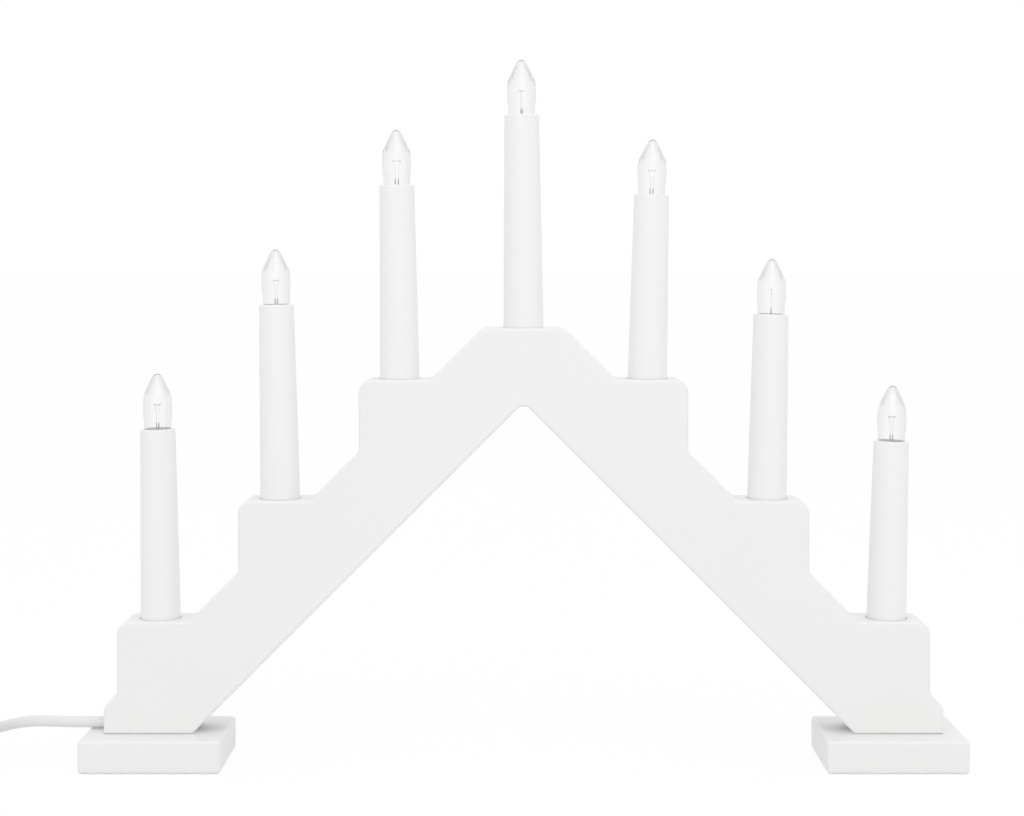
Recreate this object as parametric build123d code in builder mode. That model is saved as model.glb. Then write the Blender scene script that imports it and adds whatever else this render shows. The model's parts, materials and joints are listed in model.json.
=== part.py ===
from build123d import *
import math
import os

os.makedirs("parts", exist_ok=True)

# Sizes are in millimetres. X runs to the right, Y to the back and Z up, and the origin lies
# on the table under the middle of the arch.

# One overrun serves every cut that runs past a face.
cut_overrun = 2

# Feet
foot_length = 64
foot_overhang = 9
foot_depth = 46
foot_height = 15
foot_edge_chamfer = 1.2

# Stepped board
board_thickness = 22
top_ledge_reach = 18.5
top_slope = 23.5
ledge_width = 33
step_drop = 33
step_slope = 22
end_slope = 6
leg_end_height = 12
arm_width = 37
step_count = 3
top_corner_radius = 8
ledge_corner_radius = 6
inner_corner_radius = 3.5
leg_corner_radius = 4
apex_radius = 4.4

# Wire channel, routed into the underside of the arms and legs and open at the left end
channel_width = 7
channel_depth = 8
channel_end_wall = 14

# Screws that hold each foot under its leg
screw_sides = 8
screw_radius = 1.75
screw_head_radius = 3.6
screw_head_height = 2
screw_length = 25
screw_sink = 0.6
screw_spacing = 20
screw_side_reach = 7
screw_clearance = 0.15

# Candle sleeves: tapered tubes with an inward lip at the top
sleeve_sides = 18
sleeve_length = 110
sleeve_top_radius = 8
sleeve_base_radius = 9.35
sleeve_wall = 0.9
sleeve_rim_chamfer = 0.6
lip_thickness = 1.2
lip_bore_radius = 6.6
seat_clearance = 0.2
candle_inset = 18
wire_hole_sides = 8
wire_hole_radius = 4

# Candles from left to right: name, side, step (0 is the top ledge) and lean to the right
# in degrees
candles = (
    ("left_outer", -1, 3, -0.9),
    ("left_middle", -1, 2, -1.15),
    ("left_inner", -1, 1, -0.85),
    ("centre", 1, 0, -0.5),
    ("right_inner", 1, 1, 1.3),
    ("right_middle", 1, 2, 1.3),
    ("right_outer", 1, 3, 1.6),
)
# How much of each sleeve stands clear of its ledge, as a share of its length
standing_shares = (0.79, 0.81, 0.81, 0.89, 0.77, 0.77, 0.74)

# Lamp holder, pushed up under the lip of its sleeve
holder_sides = 8
holder_radius = 6.95
holder_collar_height = 5
holder_body_radius = 6.5
holder_height = 18
holder_floor = 2.4
holder_recess_radius = 6.4
holder_recess_depth = 4.1
holder_hole_radius = 0.8
shell_wall = 0.4
shell_height = 9.2
shell_fit = 0.05
shell_ledge = 0.7
thread_clearance = 0.08
contact_length = 8
contact_width = 2.4
contact_thickness = 0.5

# Candle bulb with a small screw cap
bulb_sides = 12
bulb_height = 25.3
bulb_radius = 6.65
glass_wall = 0.5
glass_neck_radius = 4.0
glass_neck_length = 9
cap_sides = 8
cap_radius = 4.8
cap_wall = 0.35
cap_height = 9
cap_flange_radius = 5.35
cap_flange_height = 0.8
cap_drop = 3.9
insulator_height = 1.8
insulator_top_radius = 4.2
insulator_foot_radius = 2.2
tip_radius = 1.6
tip_height = 0.9
lead_width = 0.4
lead_spread = 0.8
bead_radius = 1.2
bead_height = 2.4
bead_drop = 4.4
filament_height = 11
filament_spread = 1.6

# Heights above the sleeve's rim, as shares of the bulb's height, and radii as shares of
# its widest radius
bulb_outline_shares = (
    (0.0, 0.917),
    (0.32, 1.0),
    (0.47, 0.99),
    (0.61, 0.935),
    (0.94, 0.35),
    (1.0, 0.10),
)

# Lamp wires in the channel, with staples over them
wire_radius = 0.7
wire_sides = 6
wire_fit = 0.05
wire_side_reach = 1.6
wire_hole_reach = 2.4
wire_jog = 6.5
staple_width = 6.6
staple_wire = 0.8
staple_bite = 4
staple_gap = 0.4

# Cord, its clamp in the mouth of the channel, and its plug
cord_diameter = 5
cord_sides = 6
clamp_inset = 3
clamp_length = 12
clamp_width = 6.6
clamp_height = 7.6
cord_height = 2.9
coil_inner_radius = 25
coil_gap = 0.5
coil_layer_gap = 0.5
coil_turns_in = 3
coil_turns_out = 4
climb_lead = 10
climb_radius = 25
plug_lead = 4
plug_coil_gap = 0.3
# Its points from the clamp over the foot and down to the table
cord_route = (
    (-208, 0, 17.9),
    (-218, 1.5, 17.9),
    (-229, 5.6, 16.9),
    (-241, 12.3, 13.4),
    (-253, 20.2, 8.2),
    (-264.5, 27.4, 3.9),
    (-276, 33, 2.5),
    (-287, 36, 2.5),
    (-298, 36, 2.5),
)
plug_length = 36
plug_width = 26
plug_back_width = 12
plug_shoulder = 16
plug_thickness = 16
plug_corner_radius = 3
plug_edge_chamfer = 1.5
pin_sides = 12
pin_radius = 2
pin_length = 19
pin_spacing = 18.6

# Places that follow from the sizes
board_top = (
    foot_height
    + leg_end_height
    + end_slope
    + step_count * step_drop
    + (step_count - 1) * step_slope
    + top_slope
)
leg_reach = (
    top_ledge_reach
    + top_slope
    + step_count * ledge_width
    + (step_count - 1) * step_slope
    + end_slope
)
apex_height = board_top + top_ledge_reach - arm_width * math.sqrt(2)
leg_inner = apex_height - foot_height
channel_rise = channel_depth * math.sqrt(2)
channel_level = foot_height + channel_depth / 2
foot_reach = leg_reach + foot_overhang
foot_middle = foot_reach - foot_length / 2
leg_middle = (leg_reach + leg_inner) / 2
seat_radius = sleeve_base_radius + seat_clearance
shell_bore = (cap_radius + thread_clearance) / math.cos(math.pi / holder_sides)
shell_radius = shell_bore + shell_wall
wire_bore_radius = (wire_radius + wire_fit) / math.cos(math.pi / wire_sides)


def candle_base(side, step):
    """X and Z of a candle's axis on its ledge."""
    if step == 0:
        return 0, board_top
    pitch = ledge_width + step_slope
    edge = top_ledge_reach + top_slope + ledge_width + (step - 1) * pitch
    ledge = board_top - top_slope - (step - 1) * (step_drop + step_slope)
    return side * (edge - candle_inset), ledge


def candle_axis(side, step, lean):
    """Where the axis meets the ledge, leaning to the right about Y."""
    x, z = candle_base(side, step)
    return Location((x, 0, z), (0, lean, 0))


def channel_middle(x):
    """Height of the channel's middle line in an arm."""
    return apex_height + channel_rise / 2 - abs(x)


names = [name for name, side, step, lean in candles]
axes = [candle_axis(side, step, lean) for name, side, step, lean in candles]
# Each candle's own frame has its origin in the middle of the sleeve's rim.
rims = [
    axis * Location((0, 0, share * sleeve_length))
    for axis, share in zip(axes, standing_shares)
]


def write(piece, name):
    piece.label = name
    export_step(piece, f"parts/{name}.step")


def write_each(piece, stem):
    """One node for each candle, with the piece in that candle's frame."""
    for name, rim in zip(names, rims):
        write(rim * piece, f"{stem}_{name}")


# Board: the stepped outline, with the seats, wire holes and channel cut out
half_outline = [(top_ledge_reach, board_top)]
half_radii = [top_corner_radius]
x, z = top_ledge_reach + top_slope, board_top - top_slope
for step in range(step_count):
    slope = step_slope if step < step_count - 1 else end_slope
    half_outline += [(x, z), (x + ledge_width, z), (x + ledge_width, z - step_drop)]
    half_radii += [inner_corner_radius, ledge_corner_radius, inner_corner_radius]
    x, z = x + ledge_width + slope, z - step_drop - slope
half_outline += [(x, z), (x, foot_height), (leg_inner, foot_height)]
half_radii += [leg_corner_radius, 0, 0]
outline = half_outline + [(0, apex_height)] + [(-x, z) for x, z in reversed(half_outline)]
radii = half_radii + [apex_radius] + half_radii[::-1]

channel_bend = apex_height + channel_rise - foot_height - channel_depth
channel_floor = foot_height + channel_depth
channel_outline = [
    (-leg_reach - cut_overrun, foot_height - cut_overrun),
    (-leg_reach - cut_overrun, channel_floor),
    (-channel_bend, channel_floor),
    (0, apex_height + channel_rise),
    (channel_bend, channel_floor),
    (leg_reach - channel_end_wall, channel_floor),
    (leg_reach - channel_end_wall, foot_height - cut_overrun),
]

with BuildPart() as arch_board:
    with BuildSketch(Plane.XZ):
        with BuildLine():
            FilletPolyline(*outline, radius=radii, close=True)
        make_face()
    extrude(amount=board_thickness / 2, both=True)
    for axis, share in zip(axes, standing_shares):
        seat_depth = (1 - share) * sleeve_length
        with BuildSketch(Plane(axis * Location((0, 0, -seat_depth)))):
            RegularPolygon(seat_radius, sleeve_sides)
        extrude(amount=seat_depth + cut_overrun, mode=Mode.SUBTRACT)
        with BuildSketch(Plane(axis * Location((0, 0, -seat_depth)))):
            RegularPolygon(wire_hole_radius, wire_hole_sides)
        extrude(amount=-board_top, mode=Mode.SUBTRACT)
    with BuildSketch(Plane.XZ):
        with BuildLine():
            Polyline(*channel_outline, close=True)
        make_face()
    extrude(amount=channel_width / 2, both=True, mode=Mode.SUBTRACT)
write(arch_board.part, "arch_board")

# Feet and the screws that come up through them into the legs
with BuildPart() as foot_screw:
    with BuildSketch(Plane.XY.offset(screw_sink)):
        RegularPolygon(screw_head_radius, screw_sides)
    extrude(amount=screw_head_height)
    with BuildSketch(Plane.XY.offset(screw_sink + screw_head_height)):
        RegularPolygon(screw_radius, screw_sides)
    extrude(amount=screw_length - screw_head_height)

screw_spots = []
for side, name in ((-1, "foot_left"), (1, "foot_right")):
    spots = [
        (side * (leg_middle - screw_spacing / 2), -screw_side_reach),
        (side * (leg_middle + screw_spacing / 2), screw_side_reach),
    ]
    screw_spots += spots
    with BuildPart() as foot:
        with Locations((side * foot_middle, 0, foot_height / 2)):
            Box(foot_length, foot_depth, foot_height)
        chamfer(foot.edges(), foot_edge_chamfer)
        with BuildSketch():
            with Locations(*spots):
                RegularPolygon(screw_head_radius + screw_clearance, screw_sides)
        extrude(amount=screw_sink + screw_head_height, mode=Mode.SUBTRACT)
        with BuildSketch():
            with Locations(*spots):
                RegularPolygon(screw_radius + screw_clearance, screw_sides)
        extrude(amount=foot_height, mode=Mode.SUBTRACT)
    write(foot.part, name)

with BuildPart() as foot_screws:
    with Locations(*screw_spots):
        add(foot_screw.part)
write(foot_screws.part, "foot_screws")

# Candle sleeve, in the frame of its rim
sleeve_shrink = (sleeve_base_radius - sleeve_top_radius) * math.cos(math.pi / sleeve_sides)
sleeve_taper = math.degrees(math.atan2(sleeve_shrink, sleeve_length))
with BuildPart() as candle_sleeve:
    with BuildSketch(Plane.XY.offset(-sleeve_length)):
        RegularPolygon(sleeve_base_radius, sleeve_sides)
    extrude(amount=sleeve_length, taper=sleeve_taper)
    chamfer(candle_sleeve.faces().sort_by(Axis.Z)[-1].edges(), sleeve_rim_chamfer)
    with BuildSketch(Plane.XY.offset(-sleeve_length)):
        RegularPolygon(sleeve_base_radius - sleeve_wall, sleeve_sides)
    extrude(amount=sleeve_length - lip_thickness, taper=sleeve_taper, mode=Mode.SUBTRACT)
    with BuildSketch(Plane.XY.offset(-lip_thickness)):
        RegularPolygon(lip_bore_radius, sleeve_sides)
    extrude(amount=lip_thickness, mode=Mode.SUBTRACT)
write_each(candle_sleeve.part, "candle_sleeve")

# Lamp holder: a moulded cup with a threaded brass shell and a contact strip on its floor
holder_top = -lip_thickness
holder_foot = holder_top - holder_height
floor_top = holder_foot + holder_floor
shell_top = holder_top - holder_recess_depth
shell_foot = shell_top - shell_height
wire_places = [(side * wire_hole_reach, -wire_side_reach) for side in (-1, 1)]
with BuildPart() as lamp_holder:
    with BuildSketch(Plane.XY.offset(holder_foot)):
        RegularPolygon(holder_body_radius, holder_sides)
    extrude(amount=holder_height - holder_collar_height)
    with BuildSketch(Plane.XY.offset(holder_top - holder_collar_height)):
        RegularPolygon(holder_radius, holder_sides)
    extrude(amount=holder_collar_height)
    with BuildSketch(Plane.XY.offset(shell_top)):
        RegularPolygon(holder_recess_radius, holder_sides)
    extrude(amount=holder_recess_depth, mode=Mode.SUBTRACT)
    with BuildSketch(Plane.XY.offset(shell_foot)):
        RegularPolygon(shell_radius + shell_fit, holder_sides)
    extrude(amount=shell_height, mode=Mode.SUBTRACT)
    with BuildSketch(Plane.XY.offset(floor_top)):
        RegularPolygon(shell_radius - shell_ledge, holder_sides)
    extrude(amount=shell_foot - floor_top, mode=Mode.SUBTRACT)
    with BuildSketch(Plane.XY.offset(holder_foot)):
        with Locations(*wire_places):
            RegularPolygon(holder_hole_radius, wire_sides)
    extrude(amount=holder_floor, mode=Mode.SUBTRACT)

with BuildPart() as holder_shell:
    with BuildSketch(Plane.XY.offset(shell_foot)):
        RegularPolygon(shell_radius, holder_sides)
        RegularPolygon(shell_bore, holder_sides, mode=Mode.SUBTRACT)
    extrude(amount=shell_height)

with BuildPart() as holder_contact:
    with BuildSketch(Plane.XY.offset(floor_top)):
        Rectangle(contact_width, contact_length)
    extrude(amount=contact_thickness)

write_each(lamp_holder.part, "lamp_holder")

with BuildPart() as holder_shells:
    with Locations(*rims):
        add(holder_shell.part)
write(holder_shells.part, "holder_shells")

with BuildPart() as holder_contacts:
    with Locations(*rims):
        add(holder_contact.part)
write(holder_contacts.part, "holder_contacts")

# Candle bulb: envelope, cap, insulator with its solder tip, and filament on its mount
cap_top = -cap_drop
cap_foot = cap_top - cap_height
glass_foot = -glass_neck_length
glass_rings = [(glass_foot, glass_neck_radius), (cap_top, glass_neck_radius)]
glass_rings += [(h * bulb_height, r * bulb_radius) for h, r in bulb_outline_shares]
inner_rings = [(glass_foot - cut_overrun, glass_neck_radius)] + glass_rings[1:-1]
inner_rings = [(height, radius - glass_wall) for height, radius in inner_rings]


def ring_stages(rings, sides, upward):
    """The stages that narrow upward, or those that narrow downward as their mirror images:
    each one's lower level, radius there, length and taper."""
    stages = []
    for (low, low_radius), (high, high_radius) in zip(rings, rings[1:]):
        if (low_radius >= high_radius) != upward:
            continue
        shrink = abs(high_radius - low_radius) * math.cos(math.pi / sides)
        taper = math.degrees(math.atan2(shrink, high - low))
        stages.append((low if upward else -high, max(low_radius, high_radius), high - low, taper))
    return stages


# The flare under the widest part narrows downward, so it is made as its mirror image
with BuildPart() as glass_flare:
    for level, radius, length, taper in ring_stages(glass_rings, bulb_sides, False):
        with BuildSketch(Plane.XY.offset(level)):
            RegularPolygon(radius, bulb_sides)
        extrude(amount=length, taper=taper)
with BuildPart() as inner_flare:
    for level, radius, length, taper in ring_stages(inner_rings, bulb_sides, False):
        with BuildSketch(Plane.XY.offset(level)):
            RegularPolygon(radius, bulb_sides)
        extrude(amount=length, taper=taper)
with BuildPart() as bulb_glass:
    mirror(glass_flare.part, about=Plane.XY)
    for level, radius, length, taper in ring_stages(glass_rings, bulb_sides, True):
        with BuildSketch(Plane.XY.offset(level)):
            RegularPolygon(radius, bulb_sides)
        extrude(amount=length, taper=taper)
    mirror(inner_flare.part, about=Plane.XY, mode=Mode.SUBTRACT)
    for level, radius, length, taper in ring_stages(inner_rings, bulb_sides, True):
        with BuildSketch(Plane.XY.offset(level)):
            RegularPolygon(radius, bulb_sides)
        extrude(amount=length, taper=taper, mode=Mode.SUBTRACT)

with BuildPart() as bulb_cap:
    with BuildSketch(Plane.XY.offset(cap_foot)):
        RegularPolygon(cap_radius, cap_sides)
    extrude(amount=cap_height)
    with BuildSketch(Plane.XY.offset(cap_top)):
        RegularPolygon(cap_flange_radius, cap_sides)
    extrude(amount=-cap_flange_height)
    with BuildSketch(Plane.XY.offset(cap_foot + cap_wall)):
        RegularPolygon(cap_radius - cap_wall, cap_sides)
    extrude(amount=cap_height, mode=Mode.SUBTRACT)

# The insulator and solder tip narrow downward too
insulator_rings = [
    (cap_foot - insulator_height, insulator_foot_radius),
    (cap_foot, insulator_top_radius),
]
with BuildPart() as base_mirrored:
    for level, radius, length, taper in ring_stages(insulator_rings, cap_sides, False):
        with BuildSketch(Plane.XY.offset(level)):
            RegularPolygon(radius, cap_sides)
        extrude(amount=length, taper=taper)
    with BuildSketch(Plane.XY.offset(insulator_height - cap_foot)):
        RegularPolygon(tip_radius, cap_sides)
    extrude(amount=tip_height)
with BuildPart() as bulb_base:
    mirror(base_mirrored.part, about=Plane.XY)

mount_foot = cap_foot + cap_wall
bead_foot = bead_drop - bead_height
with BuildPart() as bulb_filament:
    with BuildSketch(Plane.XY.offset(bead_foot)):
        RegularPolygon(bead_radius, bulb_sides // 2)
    extrude(amount=bead_height)
    for side in (-1, 1):
        with BuildLine() as lead:
            Polyline(
                (side * lead_spread, 0, mount_foot),
                (side * lead_spread, 0, bead_drop),
                (side * filament_spread, 0, filament_height),
            )
        with BuildSketch(Plane.XY.offset(mount_foot)):
            with Locations((side * lead_spread, 0)):
                Rectangle(lead_width, lead_width)
        sweep(path=lead.line, transition=Transition.RIGHT)
    with Locations((0, 0, filament_height)):
        Box(filament_spread * 2 + lead_width, lead_width, lead_width)

write_each(bulb_glass.part, "bulb_glass")
write_each(bulb_cap.part, "bulb_cap")
write_each(bulb_base.part, "bulb_base")
write_each(bulb_filament.part, "bulb_filament")


# Lamp wires: the lamps are in series, so a link joins each pair of neighbours, a feed runs
# from the cord to the first lamp and a return from the last lamp back to the cord
def wire_drop(index, reach, height):
    """The point on a wire under candle index that lies at a height."""
    rim = rims[index]
    lean = math.radians(candles[index][3])
    depth = (rim.position.Z - height) / math.cos(lean)
    return (rim * Location((reach, -wire_side_reach, -depth))).position


def wire_start(index, reach):
    """Where a wire enters the underside of a lamp holder."""
    return (rims[index] * Location((reach, -wire_side_reach, holder_foot))).position


clamp_face = -(leg_reach - clamp_inset)
cord_level = foot_height + cord_height
clamp_inside = clamp_face + clamp_length

wire_routes = []
for left, right in zip(range(len(candles) - 1), range(1, len(candles))):
    side = -1 if rims[left].position.X < -candle_inset else 1
    outer, inner = (left, right) if side < 0 else (right, left)
    start = wire_start(outer, -side * wire_hole_reach)
    jog_x = axes[outer].position.X - side * wire_jog
    jog_z = max(channel_middle(jog_x), channel_level)
    jog_x = side * (channel_middle(0) - jog_z)
    end_x = axes[inner].position.X + side * wire_hole_reach
    end = wire_drop(inner, side * wire_hole_reach, channel_middle(end_x))
    wire_routes.append([
        start,
        wire_drop(outer, -side * wire_hole_reach, jog_z),
        (jog_x, -wire_side_reach, jog_z),
        end,
        wire_start(inner, side * wire_hole_reach),
    ])

first_turn = wire_drop(0, -wire_hole_reach, cord_level)
wire_routes.append([
    (clamp_face, -wire_side_reach, cord_level),
    first_turn,
    wire_start(0, -wire_hole_reach),
])
last = len(candles) - 1
last_turn = wire_drop(last, wire_hole_reach, channel_level)
bend_x = channel_middle(0) - channel_level
wire_routes.append([
    wire_start(last, wire_hole_reach),
    last_turn,
    (last_turn.X, wire_side_reach, channel_level),
    (bend_x, wire_side_reach, channel_level),
    (0, wire_side_reach, channel_middle(0)),
    (-bend_x, wire_side_reach, channel_level),
    (clamp_inside, wire_side_reach, cord_level),
    (clamp_face, wire_side_reach, cord_level),
])

with BuildPart() as lamp_wires:
    for points in wire_routes:
        with BuildLine() as run:
            Polyline(*points)
        with BuildSketch(Plane(run.line @ 0, z_dir=run.line % 0)):
            RegularPolygon(wire_radius, wire_sides)
        sweep(path=run.line, transition=Transition.RIGHT)
write(lamp_wires.part, "lamp_wires")

# Staples over the wires, halfway between the holes of each arm
staple_root = wire_radius + staple_gap
with BuildPart() as wire_staple:
    with BuildSketch(Plane.YZ):
        with Locations((0, -staple_root)):
            Rectangle(staple_width, staple_wire, align=(Align.CENTER, Align.MAX))
        for side in (-1, 1):
            with Locations((side * (staple_width - staple_wire) / 2, -staple_root)):
                Rectangle(
                    staple_wire,
                    staple_root + channel_depth / 2 + staple_bite,
                    align=(Align.CENTER, Align.MIN),
                )
    extrude(amount=staple_wire / 2, both=True)

staple_places = []
for side in (-1, 1):
    for near, far in ((0, 1), (1, 2), (2, 3)):
        reach = (abs(candle_base(side, near)[0]) + candle_base(1, far)[0]) / 2
        staple_places.append(
            Location((side * reach, 0, channel_middle(reach)), (0, side * 45, 0))
        )
with BuildPart() as wire_staples:
    with Locations(*staple_places):
        add(wire_staple.part)
write(wire_staples.part, "wire_staples")

# Clamp in the channel's mouth, over the two wires where the cord's sheath ends
with BuildPart() as cord_clamp:
    with BuildSketch(Plane((clamp_face, 0, foot_height), x_dir=(0, 1, 0), z_dir=(1, 0, 0))):
        Rectangle(clamp_width, clamp_height, align=(Align.CENTER, Align.MIN))
        for side in (-1, 1):
            with Locations((side * wire_side_reach, cord_height)):
                RegularPolygon(wire_bore_radius, wire_sides, mode=Mode.SUBTRACT)
    extrude(amount=clamp_length)
write(cord_clamp.part, "cord_clamp")

# Cord: its free stretch, from the clamp over the foot and down to the table
cord_points = [(clamp_face, 0, cord_level)] + list(cord_route)


def arc_radii(points):
    """The largest arc that each corner's two runs allow."""
    radii = []
    for before, corner, after in zip(points, points[1:], points[2:]):
        into = Vector(*corner) - Vector(*before)
        out = Vector(*after) - Vector(*corner)
        half_turn = math.radians(into.get_angle(out) / 2)
        radii.append(0.45 * min(into.length, out.length) / math.tan(half_turn))
    return radii


print("cord corner radii", [round(radius) for radius in arc_radii(cord_points)])

with BuildPart() as cord_free:
    with BuildLine() as cord_run:
        FilletPolyline(*cord_points, radius=arc_radii(cord_points))
    run = cord_run.wires()[0]
    with BuildSketch(Plane(run @ 0, z_dir=run % 0)):
        RegularPolygon(cord_diameter / 2, cord_sides)
    sweep(path=run)
print("cord free stretch", round(run.length, 1), "volume share",
      round(cord_free.part.volume / (run.length * cord_free.faces().sort_by(Axis.X)[-1].area), 4))
write(cord_free.part, "cord_free")

# The rest of the cord, put away in a coil of two layers: it winds in, climbs in half a turn,
# winds out again, and climbs once more to the plug on top
coil_pitch = cord_diameter + coil_gap
coil_rise = cord_diameter + coil_layer_gap
arcs = []
at = Vector(*cord_points[-1]) - Vector(cord_diameter, 0, 0)
toward = -1
radius = coil_inner_radius + coil_turns_in * coil_pitch / 2


def half_turn_arc(start, toward, radius, rise=0):
    """A half turn about a centre on one side of its start, level or climbing."""
    across = Vector(0, 2 * toward * radius, rise)
    bulge = Vector(toward, 0, 0) * (across.length / 2)
    return start, start + across / 2 + bulge, start + across


for turn in range(coil_turns_in):
    arcs.append(half_turn_arc(at, toward, radius))
    at, toward, radius = arcs[-1][2], -toward, radius - coil_pitch / 2
arcs.append(half_turn_arc(at, toward, radius, coil_rise))
at, toward, radius = arcs[-1][2], -toward, radius + coil_pitch / 2
for turn in range(coil_turns_out):
    arcs.append(half_turn_arc(at, toward, radius))
    at, toward, radius = arcs[-1][2], -toward, radius + coil_pitch / 2
climb_start = at + Vector(toward * climb_lead, 0, 0)
plug_level = cord_diameter / 2 + plug_coil_gap + plug_thickness / 2
climb = half_turn_arc(climb_start, toward, climb_radius, plug_level)
cord_end = climb[2] - Vector(toward * plug_lead, 0, 0)

with BuildPart() as cord_coil:
    with BuildLine() as coil_run:
        Line(cord_points[-1], arcs[0][0])
        for start, middle, end in arcs:
            ThreePointArc(start, middle, end)
        Line(at, climb_start)
        ThreePointArc(*climb)
        Line(climb[2], cord_end)
    winding = coil_run.wires()[0]
    with BuildSketch(Plane(winding @ 0, x_dir=(0, 0, 1), z_dir=winding % 0)):
        RegularPolygon(cord_diameter / 2, cord_sides, rotation=180 / cord_sides)
    sweep(path=winding)
print("coil", round(winding.length, 1), "ends", cord_end)
write(cord_coil.part, "cord_coil")

# Plug: a flat moulded body that lies on the coil, with two pins
plug_way = (winding % 1).normalized()
plug_back = Plane(winding @ 1, x_dir=plug_way, z_dir=(0, 0, 1))
with BuildPart() as plug_body:
    with BuildSketch(plug_back.offset(-plug_thickness / 2)):
        with BuildLine():
            FilletPolyline(
                (0, plug_back_width / 2),
                (plug_shoulder, plug_width / 2),
                (plug_length, plug_width / 2),
                (plug_length, -plug_width / 2),
                (plug_shoulder, -plug_width / 2),
                (0, -plug_back_width / 2),
                radius=[0, plug_corner_radius, 0, 0, plug_corner_radius, 0],
                close=True,
            )
        make_face()
    extrude(amount=plug_thickness)
    chamfer(plug_body.faces().filter_by(Axis.Z).edges(), plug_edge_chamfer)
write(plug_body.part, "plug_body")

plug_face = Plane((winding @ 1) + plug_way * plug_length, x_dir=plug_back.y_dir, z_dir=plug_way)
with BuildPart() as plug_pins:
    with BuildSketch(plug_face):
        with Locations((-pin_spacing / 2, 0), (pin_spacing / 2, 0)):
            RegularPolygon(pin_radius, pin_sides)
    extrude(amount=pin_length)
write(plug_pins.part, "plug_pins")

# The coil's least gap to itself, from points along it that lie more than half a turn apart
steps = 900
points = [winding @ (i / steps) for i in range(steps + 1)]
apart = math.ceil(math.pi * coil_inner_radius / (winding.length / steps))
least = min(
    (points[i] - points[j]).length
    for i in range(0, steps + 1)
    for j in range(i + apart, steps + 1)
)
print("coil least gap", round(least - cord_diameter, 2))
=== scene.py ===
import json
import math

import bmesh
import bpy
from mathutils import Matrix, Vector


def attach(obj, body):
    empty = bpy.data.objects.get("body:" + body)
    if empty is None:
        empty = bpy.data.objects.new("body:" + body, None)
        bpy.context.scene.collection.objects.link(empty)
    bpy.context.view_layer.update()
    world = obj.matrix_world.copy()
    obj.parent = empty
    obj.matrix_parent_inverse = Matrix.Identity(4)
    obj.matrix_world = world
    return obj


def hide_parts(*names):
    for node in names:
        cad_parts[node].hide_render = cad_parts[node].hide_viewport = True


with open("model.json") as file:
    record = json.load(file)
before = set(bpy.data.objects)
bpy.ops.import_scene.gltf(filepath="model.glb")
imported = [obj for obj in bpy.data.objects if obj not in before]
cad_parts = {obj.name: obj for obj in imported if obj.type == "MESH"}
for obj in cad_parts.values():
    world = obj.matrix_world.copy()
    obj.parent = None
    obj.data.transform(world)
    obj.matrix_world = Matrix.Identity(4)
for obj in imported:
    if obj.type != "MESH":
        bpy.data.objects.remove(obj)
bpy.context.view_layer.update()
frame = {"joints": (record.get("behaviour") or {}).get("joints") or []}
mm = 0.001
scene = bpy.context.scene
scene.view_settings.view_transform = "Standard"


def report(stage):
    print("scene:", stage)


# Camera: level, a little above the middle of the arch
camera = {"lens": 63.3, "distance": 829 * mm, "height": 230.5 * mm, "shiftX": -0.01127, "shiftY": -0.1445}
cameraData = bpy.data.cameras.new("camera")
cameraData.lens = camera["lens"]
cameraData.sensor_width = 36
cameraData.shift_x = camera["shiftX"]
cameraData.shift_y = camera["shiftY"]
cameraData.clip_start = 0.01
cameraObject = bpy.data.objects.new("camera", cameraData)
cameraObject.location = (0, -camera["distance"], camera["height"])
cameraObject.rotation_euler = (math.pi / 2, 0, 0)
scene.collection.objects.link(cameraObject)
scene.camera = cameraObject


# Helpers for shader trees, and the node group that the finishes share
def wire(tree, source, target):
    tree.links.new(source, target)


def mathNode(tree, operation, *sources):
    result = tree.nodes.new("ShaderNodeMath")
    result.operation = operation
    for source, target in zip(sources, result.inputs):
        if isinstance(source, (int, float)):
            target.default_value = source
        else:
            wire(tree, source, target)
    return result.outputs[0]


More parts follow.
